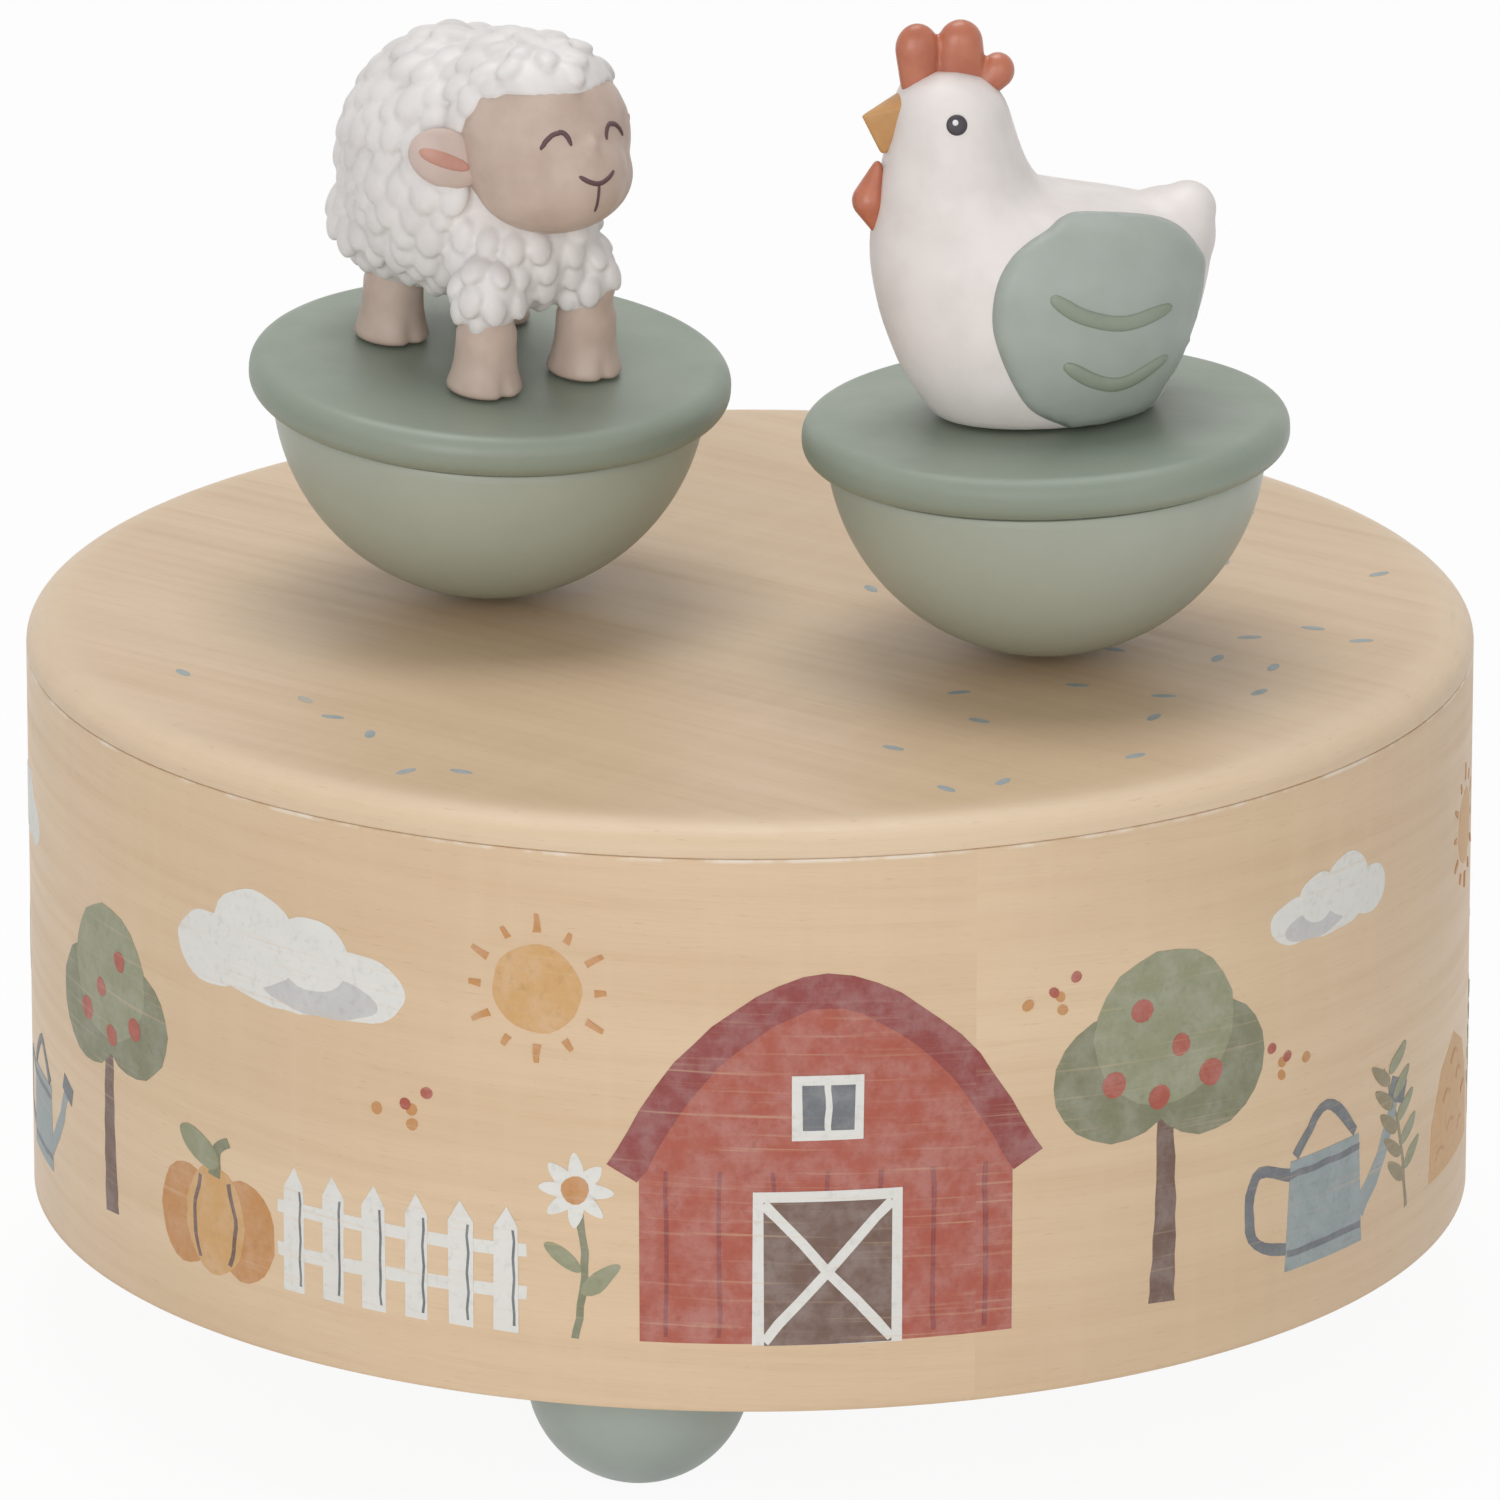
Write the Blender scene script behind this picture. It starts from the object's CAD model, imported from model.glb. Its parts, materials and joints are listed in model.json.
"""Looks of the wooden music box: its woods, paints and resins, the sheep and the hen, and the printed ring."""
import json
import math

import bmesh
import bpy
import numpy as np
from mathutils import Matrix, Vector, geometry
from mathutils.bvhtree import BVHTree


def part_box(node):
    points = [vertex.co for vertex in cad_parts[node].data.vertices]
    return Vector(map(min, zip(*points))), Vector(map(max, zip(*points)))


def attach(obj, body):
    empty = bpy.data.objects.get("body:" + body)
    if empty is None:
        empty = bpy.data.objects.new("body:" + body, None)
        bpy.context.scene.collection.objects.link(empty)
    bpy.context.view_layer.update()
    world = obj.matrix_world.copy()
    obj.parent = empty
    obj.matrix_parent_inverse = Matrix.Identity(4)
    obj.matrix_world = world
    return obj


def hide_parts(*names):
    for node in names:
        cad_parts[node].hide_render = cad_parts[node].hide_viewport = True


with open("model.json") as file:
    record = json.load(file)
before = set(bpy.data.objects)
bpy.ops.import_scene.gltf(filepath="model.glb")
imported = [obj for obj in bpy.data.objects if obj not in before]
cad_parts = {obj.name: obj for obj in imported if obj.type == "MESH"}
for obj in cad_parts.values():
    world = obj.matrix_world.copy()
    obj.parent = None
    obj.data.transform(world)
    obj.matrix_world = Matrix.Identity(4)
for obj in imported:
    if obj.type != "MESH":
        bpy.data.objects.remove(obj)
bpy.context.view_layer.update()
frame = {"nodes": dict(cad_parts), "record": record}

# Box sizes, in metres
ring_radius = 0.0575
ring_wall = 0.005
ring_bottom = 0.0108
ring_top = 0.05542
plate_bottom = 0.05545
plate_top = 0.05785
plate_round_across = 0.0031
plate_round_down = 0.0021
foot_radius = 0.00877
foot_circle = 0.043
foot_centre_height = 0.0086
foot_top = 0.0105
first_foot_angle = math.radians(-101.6)
veneer_seam_angle = math.radians(-72.5)

# Figures
ball_radius = 0.0173
ball_height = 0.07545
lid_radius = 0.01915
lid_below = 0.0013
lid_above = 0.0021
lid_round = 0.0015
gap = 0.0003
sheep_place = (-0.02064, 0.0035)
sheep_leans = (math.radians(2.8), math.radians(4.0))
sheep_heading = math.radians(-56.0)
hen_place = (0.02319, -0.0119)
hen_leans = (math.radians(-1.7), math.radians(0.5))
hen_heading = math.radians(190.0)
millimetre = 0.001
full_turn = 2 * math.pi


# Node trees
def node(tree, kind, inputs=None, **settings):
    """Adds a node; an input's value is a plain value, or an output socket to link from."""
    made = tree.nodes.new(kind)
    for name, value in settings.items():
        setattr(made, name, value)
    for key, value in (inputs or {}).items():
        if isinstance(value, bpy.types.NodeSocket):
            tree.links.new(value, made.inputs[key])
        else:
            made.inputs[key].default_value = value
    return made


def sums(tree, operation, *terms):
    return node(tree, "ShaderNodeMath", dict(enumerate(terms)), operation=operation).outputs[0]


def mixed(tree, share, first, second, blend="MIX"):
    made = node(tree, "ShaderNodeMix", None, data_type="RGBA", blend_type=blend)
    for key, value in ((0, share), (6, first), (7, second)):
        if isinstance(value, bpy.types.NodeSocket):
            tree.links.new(value, made.inputs[key])
        elif key == 0:
            made.inputs[key].default_value = value
        else:
            made.inputs[key].default_value = (*value, 1.0)
    return made.outputs[2]


def ranged(tree, value, low, high, to_low=0.0, to_high=1.0):
    inputs = {0: value, 1: low, 2: high, 3: to_low, 4: to_high}
    return node(tree, "ShaderNodeMapRange", inputs, interpolation_type="SMOOTHSTEP").outputs[0]


def noise(tree, vector, scale, detail=4.0, rough=0.55):
    inputs = {"Vector": vector, "Scale": scale, "Detail": detail, "Roughness": rough}
    return node(tree, "ShaderNodeTexNoise", inputs).outputs[0]


def bumped(tree, height, distance, strength=1.0, under=None):
    inputs = {"Height": height, "Distance": distance, "Strength": strength}
    if under is not None:
        inputs["Normal"] = under
    return node(tree, "ShaderNodeBump", inputs).outputs[0]


def finish(name, build, **sockets):
    """A material whose shader takes its plain values from sockets and its patterns from build(tree, point)."""
    made = bpy.data.materials.new(name)
    made.use_nodes = True
    tree = made.node_tree
    shader = tree.nodes["Principled BSDF"]
    point = node(tree, "ShaderNodeTexCoord").outputs["Object"]
    for key, value in sockets.items():
        shader.inputs[key.replace("_", " ")].default_value = value
    for key, value in build(tree, point).items():
        tree.links.new(value, shader.inputs[key])
    return made


def stretched(tree, point, scales, turn=0.0):
    inputs = {"Vector": point, "Rotation": (0.0, 0.0, turn), "Scale": scales}
    return node(tree, "ShaderNodeMapping", inputs).outputs[0]


def wood_pattern(tree, along, tones):
    """Pale wood from coordinates in metres whose X runs along the grain."""
    broad = noise(tree, stretched(tree, along, (10.0, 60.0, 10.0)), 1.0, 3.0)
    streak = noise(tree, stretched(tree, along, (22.0, 620.0, 22.0)), 1.0, 5.0, 0.6)
    fibre = noise(tree, stretched(tree, along, (160.0, 5200.0, 160.0)), 1.0, 4.0, 0.7)
    fleck = noise(tree, stretched(tree, along, (520.0, 4600.0, 520.0)), 1.0, 2.0)
    ripple = noise(tree, stretched(tree, along, (380.0, 30.0, 380.0)), 1.0, 2.0)
    colour = mixed(tree, ranged(tree, broad, 0.3, 0.72), tones[0], tones[1])
    colour = mixed(tree, ranged(tree, streak, 0.4, 0.8, 0.0, 0.32), colour, tones[2])
    colour = mixed(tree, ranged(tree, fibre, 0.45, 0.8, 0.0, 0.3), colour, tones[2])
    colour = mixed(tree, ranged(tree, fleck, 0.62, 0.8, 0.0, 0.38), colour, tones[3])
    colour = mixed(tree, ranged(tree, ripple, 0.45, 0.75, 0.0, 0.2), colour, tones[0])
    rough = ranged(tree, streak, 0.3, 0.8, 0.42, 0.56)
    bump = bumped(tree, fibre, 0.00004, 0.5)
    bump = bumped(tree, streak, 0.00006, 0.4, bump)
    return {"Base Color": colour, "Roughness": rough, "Normal": bump}


def round_grain(tree, point):
    """Coordinates that run round the ring: X is the way round, Y the height; they break at the veneer's seam."""
    turned = stretched(tree, point, (1.0, 1.0, 1.0), math.pi - veneer_seam_angle)
    parts = node(tree, "ShaderNodeSeparateXYZ", {0: turned}).outputs
    angle = sums(tree, "ARCTAN2", parts[1], parts[0])
    way = sums(tree, "MULTIPLY", angle, ring_radius)
    # The sheet's grain climbs a little on its way round
    climb = sums(tree, "MULTIPLY_ADD", way, 0.035, parts[2])
    return node(tree, "ShaderNodeCombineXYZ", {0: way, 1: climb, 2: 0.0}).outputs[0], parts


veneer_tones = ((0.75, 0.565, 0.375), (0.67, 0.485, 0.31), (0.57, 0.39, 0.23), (0.45, 0.28, 0.145))
plate_tones = ((0.695, 0.515, 0.34), (0.61, 0.44, 0.28), (0.50, 0.345, 0.205), (0.37, 0.23, 0.12))
edge_tones = ((0.74, 0.575, 0.40), (0.68, 0.515, 0.35), (0.58, 0.42, 0.27), (0.45, 0.30, 0.17))


def veneer_build(tree, point):
    along, parts = round_grain(tree, point)
    made = wood_pattern(tree, along, veneer_tones)
    height = parts[2]
    low = ranged(tree, height, ring_bottom + 0.0005, ring_bottom, 0.0, 0.35)
    worn = sums(tree, "MULTIPLY", low, noise(tree, point, 900.0, 3.0))
    colour = mixed(tree, worn, made["Base Color"], veneer_tones[3])
    # A broken pale line where the top's glue was wiped off
    wiped = ranged(tree, noise(tree, point, 260.0, 4.0), 0.42, 0.62, 0.0, 0.75)
    glue = sums(tree, "MULTIPLY", wiped, ranged(tree, height, ring_top - 0.0004, ring_top - 0.0001))
    made["Base Color"] = mixed(tree, glue, colour, (0.84, 0.76, 0.66))
    return made


def plate_build(tree, point):
    """The top: a slanting grain, and the paler plies where the rim is rounded over."""
    along = stretched(tree, point, (1.0, 1.0, 1.0), math.radians(38.0))
    made = wood_pattern(tree, along, plate_tones)
    parts = node(tree, "ShaderNodeSeparateXYZ", {0: point}).outputs
    flat = node(tree, "ShaderNodeCombineXYZ", {0: parts[0], 1: parts[1], 2: 0.0}).outputs[0]
    reach = node(tree, "ShaderNodeVectorMath", {0: flat}, operation="LENGTH").outputs["Value"]
    way = sums(tree, "MULTIPLY", sums(tree, "ARCTAN2", parts[1], parts[0]), ring_radius)
    around = node(tree, "ShaderNodeCombineXYZ", {0: way, 1: parts[2], 2: 0.0}).outputs[0]
    edge = wood_pattern(tree, around, edge_tones)["Base Color"]
    on_edge = ranged(tree, reach, ring_radius - 1.7 * plate_round_across, ring_radius - 0.3 * plate_round_across)
    made["Base Color"] = mixed(tree, on_edge, made["Base Color"], edge)
    return made


def raw_wood_build(tree, point):
    return wood_pattern(tree, stretched(tree, point, (1.0, 1.0, 1.0), 0.4), plate_tones)


def paint_build(colour, deep, peel=0.00003):
    """Satin paint brushed over turned wood: a little uneven, thin on edges, with faint dust and brush marks."""
    def build(tree, point):
        cloud = noise(tree, point, 90.0, 4.0)
        grain = noise(tree, stretched(tree, point, (300.0, 2600.0, 300.0), 0.5), 1.0, 3.0)
        speck = noise(tree, point, 3800.0, 2.0)
        tone = mixed(tree, ranged(tree, cloud, 0.3, 0.7), colour, deep)
        tone = mixed(tree, ranged(tree, grain, 0.5, 0.8, 0.0, 0.18), tone, deep)
        tone = mixed(tree, ranged(tree, speck, 0.7, 0.82, 0.0, 0.35), tone, [min(1.0, c * 1.35) for c in colour])
        rough = ranged(tree, cloud, 0.25, 0.75, 0.36, 0.5)
        bump = bumped(tree, noise(tree, point, 1500.0, 3.0), peel, 0.5)
        bump = bumped(tree, grain, peel, 0.35, bump)
        return {"Base Color": tone, "Roughness": rough, "Normal": bump}
    return build


def metal_build(colour, deep, low=0.22, high=0.42, lines=(300.0, 9000.0, 300.0)):
    """Worked metal: fine tool lines, cloudy tarnish and small marks."""
    def build(tree, point):
        line = noise(tree, stretched(tree, point, lines), 1.0, 3.0)
        cloud = noise(tree, point, 240.0, 5.0)
        tone = mixed(tree, ranged(tree, cloud, 0.35, 0.75), colour, deep)
        rough = sums(tree, "ADD", ranged(tree, line, 0.3, 0.7, low, high), ranged(tree, cloud, 0.5, 0.8, 0.0, 0.12))
        return {"Base Color": tone, "Roughness": rough, "Normal": bumped(tree, line, 0.00001, 0.35)}
    return build


def resin_build(colour, deep, grain=0.00003):
    """Cast resin under matt paint: soft mottling, a dusting of darker specks, and a faint dry-brushed bump."""
    def build(tree, point):
        cloud = noise(tree, point, 260.0, 5.0)
        speck = noise(tree, point, 2600.0, 3.0)
        tone = mixed(tree, ranged(tree, cloud, 0.35, 0.75), colour, deep)
        tone = mixed(tree, ranged(tree, speck, 0.62, 0.8, 0.0, 0.3), tone, deep)
        rough = ranged(tree, cloud, 0.3, 0.7, 0.42, 0.58)
        return {"Base Color": tone, "Roughness": rough,
                "Normal": bumped(tree, noise(tree, point, 1100.0, 4.0), grain, 0.6)}
    return build


def print_build(red, green, blue):
    """Ink printed on the veneer, from its seen colour: washy, with the wood's grain showing through."""
    ink = [((c / 255 + 0.055) / 1.055) ** 2.4 for c in (red, green, blue)]

    def build(tree, point):
        along, _ = round_grain(tree, point)
        wash = noise(tree, point, 420.0, 5.0, 0.65)
        dab = noise(tree, point, 1500.0, 3.0)
        grain = noise(tree, stretched(tree, along, (60.0, 2600.0, 60.0)), 1.0, 3.0)
        tone = mixed(tree, ranged(tree, wash, 0.35, 0.7, 0.0, 0.45), ink, [c + (1 - c) * 0.22 for c in ink])
        tone = mixed(tree, ranged(tree, dab, 0.5, 0.8, 0.0, 0.4), tone, [c * 0.66 for c in ink])
        tone = mixed(tree, ranged(tree, grain, 0.55, 0.8, 0.0, 0.45), tone, veneer_tones[1])
        return {"Base Color": tone, "Roughness": ranged(tree, wash, 0.3, 0.7, 0.45, 0.6),
                "Normal": bumped(tree, grain, 0.00003, 0.4)}
    return build


finishes = {
    "veneer": finish("veneer", veneer_build, Coat_Weight=0.12, Coat_Roughness=0.35, Specular_IOR_Level=0.4),
    "plywood": finish("plywood", plate_build, Coat_Weight=0.12, Coat_Roughness=0.35, Specular_IOR_Level=0.4),
    "raw_wood": finish("raw_wood", raw_wood_build),
    "bowl_paint": finish("bowl_paint", paint_build((0.395, 0.43, 0.365), (0.37, 0.405, 0.34))),
    "lid_paint": finish("lid_paint", paint_build((0.26, 0.30, 0.242), (0.24, 0.281, 0.224))),
    "foot_paint": finish("foot_paint", paint_build((0.385, 0.44, 0.395), (0.345, 0.40, 0.36))),
    "fleece_white": finish("fleece_white", resin_build((0.765, 0.735, 0.72), (0.68, 0.645, 0.63))),
    "hen_white": finish("hen_white", resin_build((0.80, 0.745, 0.72), (0.74, 0.685, 0.66), 0.00002)),
    "face_tan": finish("face_tan", resin_build((0.57, 0.445, 0.375), (0.49, 0.37, 0.305), 0.00002)),
    "ear_tan": finish("ear_tan", resin_build((0.60, 0.475, 0.42), (0.52, 0.40, 0.345), 0.00002)),
    "ear_pink": finish("ear_pink", resin_build((0.56, 0.30, 0.235), (0.46, 0.22, 0.165))),
    "line_brown": finish("line_brown", resin_build((0.115, 0.055, 0.06), (0.08, 0.04, 0.045))),
    "comb_rust": finish("comb_rust", resin_build((0.49, 0.148, 0.073), (0.40, 0.105, 0.05)),
                        Coat_Weight=0.5, Coat_Roughness=0.22),
    "beak_ochre": finish("beak_ochre", resin_build((0.55, 0.29, 0.10), (0.46, 0.22, 0.07)),
                         Coat_Weight=0.4, Coat_Roughness=0.25),
    "wing_teal": finish("wing_teal", resin_build((0.365, 0.405, 0.365), (0.335, 0.375, 0.335))),
    "wing_green": finish("wing_green", resin_build((0.26, 0.30, 0.235), (0.235, 0.275, 0.21))),
    "eye_dark": finish("eye_dark", resin_build((0.045, 0.035, 0.045), (0.03, 0.025, 0.03))),
    "eye_light": finish("eye_light", resin_build((0.8, 0.8, 0.8), (0.7, 0.7, 0.7))),
    "art_red": finish("art_red", print_build(168, 84, 66)),
    "art_dark_red": finish("art_dark_red", print_build(140, 62, 58)),
    "art_brown": finish("art_brown", print_build(112, 86, 74)),
    "art_white": finish("art_white", print_build(222, 220, 214)),
    "art_orange": finish("art_orange", print_build(193, 138, 82)),
    "art_pale_orange": finish("art_pale_orange", print_build(205, 160, 104)),
    "art_teal": finish("art_teal", print_build(146, 156, 157)),
    "art_pale_teal": finish("art_pale_teal", print_build(166, 172, 166)),
    "art_grey": finish("art_grey", print_build(107, 110, 114)),
    "art_pale_grey": finish("art_pale_grey", print_build(196, 194, 192)),
    "art_green": finish("art_green", print_build(144, 145, 115)),
    "art_olive": finish("art_olive", print_build(126, 126, 98)),
    "art_sprig": finish("art_sprig", print_build(141, 128, 96)),
    "brass": finish("brass", metal_build((0.78, 0.56, 0.24), (0.60, 0.40, 0.16)), Metallic=1.0),
    "steel": finish("steel", metal_build((0.60, 0.60, 0.62), (0.45, 0.45, 0.47)), Metallic=1.0),
    "blue_steel": finish("blue_steel", metal_build((0.16, 0.20, 0.30), (0.10, 0.12, 0.20)), Metallic=1.0),
    "nickel": finish("nickel", metal_build((0.66, 0.64, 0.60), (0.54, 0.52, 0.49), 0.15, 0.3), Metallic=1.0),
    "zinc": finish("zinc", metal_build((0.62, 0.60, 0.50), (0.44, 0.43, 0.37), 0.25, 0.45), Metallic=1.0),
    "cast_grey": finish("cast_grey", metal_build((0.36, 0.36, 0.37), (0.27, 0.27, 0.28), 0.45, 0.65,
                                                 (900.0, 900.0, 900.0)), Metallic=1.0),
}


# Meshes
def mesh_from(build, name):
    bmesh.ops.remove_doubles(build, verts=build.verts, dist=0.0000002)
    bmesh.ops.recalc_face_normals(build, faces=build.faces)
    mesh = bpy.data.meshes.new(name)
    build.to_mesh(mesh)
    build.free()
    return mesh


def piece(name, mesh, look, body, sharp=35.0, stands_for=()):
    """A finished piece at the origin that rides on a body."""
    made = bpy.data.objects.new(name, mesh)
    bpy.context.scene.collection.objects.link(made)
    mesh.materials.clear()
    mesh.materials.append(finishes[look])
    mesh.shade_smooth()
    mesh.set_sharp_from_angle(angle=math.radians(sharp))
    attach(made, body)
    if stands_for:
        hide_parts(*stands_for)
    return made


def turned(profile, sides):
    build = bmesh.new()
    corners = [build.verts.new((radius, 0.0, height)) for radius, height in profile]
    edges = [build.edges.new(pair) for pair in zip(corners, corners[1:])]
    if profile[0][0] > 0.0:
        edges.append(build.edges.new((corners[-1], corners[0])))
    bmesh.ops.spin(build, geom=corners + edges, cent=(0.0, 0.0, 0.0), axis=(0.0, 0.0, 1.0),
                   dvec=(0.0, 0.0, 0.0), angle=full_turn, steps=sides, use_merge=True)
    return mesh_from(build, "turned")


def arc(centre, radius, start, end, steps):
    """Points of an arc in a profile, from one angle to another in degrees."""
    turns = [math.radians(start + (end - start) * i / steps) for i in range(steps + 1)]
    return [(centre[0] + radius * math.cos(t), centre[1] + radius * math.sin(t)) for t in turns]


def moved(mesh, place):
    mesh.transform(place)
    return mesh


def figure_place(place, leans, heading):
    """From a figure's own millimetres, X forward and Z up from its lid, to the box's metres."""
    tilt = Matrix.Rotation(leans[0], 4, "Y") @ Matrix.Rotation(leans[1], 4, "X")
    lid = Matrix.Translation((0.0, 0.0, lid_above))
    return (Matrix.Translation((*place, ball_height)) @ tilt @ lid @ Matrix.Rotation(heading, 4, "Z")
            @ Matrix.Scale(millimetre, 4))


def make_case():
    inner = ring_radius - ring_wall
    nick = 0.00012
    ring = [(inner, ring_bottom), *arc((ring_radius - nick, ring_bottom + nick), nick, -90, 0, 4),
            *arc((ring_radius - nick, ring_top - nick), nick, 0, 90, 4), (inner, ring_top)]
    piece("drum_ring", turned(ring, 288), "veneer", "case", stands_for=("side_ring",))
    rim = []
    steps = 12
    for i in range(steps + 1):
        turn = math.pi / 2 * i / steps
        out = ring_radius - plate_round_across * (1 - math.cos(turn))
        rim.append((out, plate_top - plate_round_down * (1 - math.sin(turn))))
    soft = 0.0001
    plate = [(0.0, plate_bottom), (ring_radius - soft, plate_bottom), (ring_radius, plate_bottom + soft), *rim,
             (0.05, plate_top), (0.03, plate_top), (0.0, plate_top)]
    piece("drum_top", turned(plate, 288), "plywood", "case", stands_for=("top_plate",))
    low = math.degrees(math.asin(-foot_centre_height / foot_radius))
    high = math.degrees(math.asin((foot_top - foot_centre_height) / foot_radius))
    for i in range(3):
        turn = first_foot_angle + full_turn / 3 * i
        spot = Matrix.Translation((foot_circle * math.cos(turn), foot_circle * math.sin(turn), 0.0))
        ball = arc((0.0, foot_centre_height), foot_radius, low, high, 40)
        profile = [(0.0, 0.0), *ball, (0.0015, foot_top), (0.0015, 0.005), (0.0, 0.005)]
        name = "ball_foot_%d" % (i + 1)
        piece(name, moved(turned(profile, 96), spot), "foot_paint", "case",
              stands_for=("foot_%d" % (i + 1),))


def make_stand(body, place, leans):
    """The bowl and the lid of one figure."""
    tilt = (Matrix.Translation((*place, ball_height)) @ Matrix.Rotation(leans[0], 4, "Y")
            @ Matrix.Rotation(leans[1], 4, "X"))
    rim = -lid_below - gap
    soft = 0.0003
    end = math.degrees(math.asin((rim - soft) / ball_radius))
    ball = [(0.0, -ball_radius), *arc((0.0, 0.0), ball_radius, -90, end, 48)[1:]]
    out = ball[-1][0]
    profile = [*ball, (out - soft * 0.3, rim - soft * 0.3), (out - soft, rim), (0.0043, rim), (0.0043, -0.0145),
               (0.0, -0.0145)]
    piece(body + "_rocking_bowl", moved(turned(profile, 160), tilt), "bowl_paint", body,
          stands_for=(body + "_bowl",))
    across = lid_radius - lid_round
    upper = arc((across, lid_above - lid_round), lid_round, 0, 90, 9)
    lower = arc((across, -lid_below + lid_round), lid_round, -90, 0, 9)
    flat = [(0.0, -lid_below), (0.008, -lid_below), *lower, *upper, (0.008, lid_above), (0.0, lid_above)]
    piece(body + "_rocking_lid", moved(turned(flat, 160), tilt), "lid_paint", body,
          stands_for=(body + "_lid",))


def make_studio():
    """A pale floor, soft lamps, and the camera where the photograph was taken."""
    floor = bpy.data.objects.new("studio_floor", bpy.data.meshes.new("studio_floor"))
    bpy.context.scene.collection.objects.link(floor)
    wide = 6.0
    floor.data.from_pydata([(-wide, -wide, 0.0), (wide, -wide, 0.0), (wide, wide, 0.0), (-wide, wide, 0.0)],
                           [], [(0, 1, 2, 3)])
    pale = bpy.data.materials.new("studio_floor")
    pale.use_nodes = True
    tree = pale.node_tree
    shader = tree.nodes["Principled BSDF"]
    shader.inputs["Base Color"].default_value = (0.86, 0.86, 0.86, 1.0)
    shader.inputs["Roughness"].default_value = 0.9
    shader.inputs["Specular IOR Level"].default_value = 0.1
    rays = node(tree, "ShaderNodeLightPath").outputs
    seen = sums(tree, "MAXIMUM", rays["Is Camera Ray"], rays["Is Glossy Ray"])
    glow = node(tree, "ShaderNodeEmission", {"Color": (1.0, 1.0, 1.0, 1.0), "Strength": 1.0}).outputs[0]
    share = sums(tree, "MULTIPLY", seen, 0.93)
    both = node(tree, "ShaderNodeMixShader", {0: share, 1: shader.outputs[0], 2: glow}).outputs[0]
    # Clear from below, so that the underside can be looked at
    under = node(tree, "ShaderNodeNewGeometry").outputs["Backfacing"]
    clear = node(tree, "ShaderNodeBsdfTransparent").outputs[0]
    both = node(tree, "ShaderNodeMixShader", {0: under, 1: both, 2: clear}).outputs[0]
    tree.links.new(both, tree.nodes["Material Output"].inputs["Surface"])
    floor.data.materials.append(pale)

    world = bpy.data.worlds.new("studio")
    bpy.context.scene.world = world
    world.use_nodes = True
    tree = world.node_tree
    rays = node(tree, "ShaderNodeLightPath").outputs
    seen = sums(tree, "MAXIMUM", rays["Is Camera Ray"], rays["Is Transmission Ray"])
    seen = sums(tree, "MAXIMUM", seen, rays["Is Glossy Ray"])
    strength = ranged(tree, seen, 0.0, 1.0, 0.42, 1.0)
    back = tree.nodes["Background"]
    back.inputs["Color"].default_value = (1.0, 1.0, 1.0, 1.0)
    tree.links.new(strength, back.inputs["Strength"])

    for name, place, power, size in (
        ("key_lamp", (-0.35, -1.1, 0.32), 4.4, 0.7),
        ("fill_lamp", (0.45, -1.05, 0.3), 1.7, 0.7),
        ("top_lamp", (-0.05, 0.22, 1.15), 5.6, 0.7),
    ):
        light = bpy.data.lights.new(name, "AREA")
        light.energy = power
        light.size = size
        lamp = bpy.data.objects.new(name, light)
        bpy.context.scene.collection.objects.link(lamp)
        lamp.location = place
        aim = Vector((0.0, 0.0, 0.05)) - Vector(place)
        lamp.rotation_euler = aim.to_track_quat("-Z", "Y").to_euler()

    lens = bpy.data.cameras.new("photo_camera")
    lens.sensor_width = 36.0
    lens.lens = 361.6
    lens.clip_start = 0.05
    camera = bpy.data.objects.new("photo_camera", lens)
    bpy.context.scene.collection.objects.link(camera)
    camera.location = (0.0, -1.1441, 0.4118)
    aim = Vector((0.0, 0.0, 0.0458)) - camera.location
    camera.rotation_euler = aim.to_track_quat("-Z", "Y").to_euler()
    bpy.context.scene.camera = camera
    bpy.context.scene.view_settings.view_transform = "Standard"



def baked(thing):
    """The plain mesh of an object with all its modifiers worked out; the object goes."""
    graph = bpy.context.evaluated_depsgraph_get()
    mesh = bpy.data.meshes.new_from_object(thing.evaluated_get(graph))
    bpy.data.objects.remove(thing, do_unlink=True)
    return mesh


def rough_object(name, meshes):
    """One unfinished object that holds several meshes."""
    build = bmesh.new()
    for mesh in meshes:
        build.from_mesh(mesh)
    joined = bpy.data.meshes.new(name)
    build.to_mesh(joined)
    build.free()
    made = bpy.data.objects.new(name, joined)
    bpy.context.scene.collection.objects.link(made)
    return made


def fused(meshes, grain, rounds, factor=0.5):
    """Overlapping lumps melted into one skin, then softened."""
    lump = rough_object("lump", meshes)
    melt = lump.modifiers.new("melt", "REMESH")
    melt.mode = "VOXEL"
    melt.voxel_size = grain
    melt.use_smooth_shade = True
    soft = lump.modifiers.new("soften", "SMOOTH")
    soft.factor = factor
    soft.iterations = rounds
    return baked(lump)


def ball(centre, half, pitch=0.0, turn=None, sides=32):
    """A ball stretched to its half sizes and pitched about Y, or turned by a matrix."""
    build = bmesh.new()
    shape = Matrix.Translation(centre)
    shape @= turn if turn is not None else Matrix.Rotation(math.radians(pitch), 4, "Y")
    shape @= Matrix.Diagonal((*half, 1.0))
    bmesh.ops.create_uvsphere(build, u_segments=sides, v_segments=sides // 2, radius=1.0, matrix=shape)
    mesh = bpy.data.meshes.new("ball")
    build.to_mesh(mesh)
    build.free()
    return mesh


def skin_tree(mesh):
    return BVHTree.FromPolygons([v.co for v in mesh.vertices], [p.vertices[:] for p in mesh.polygons])


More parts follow.
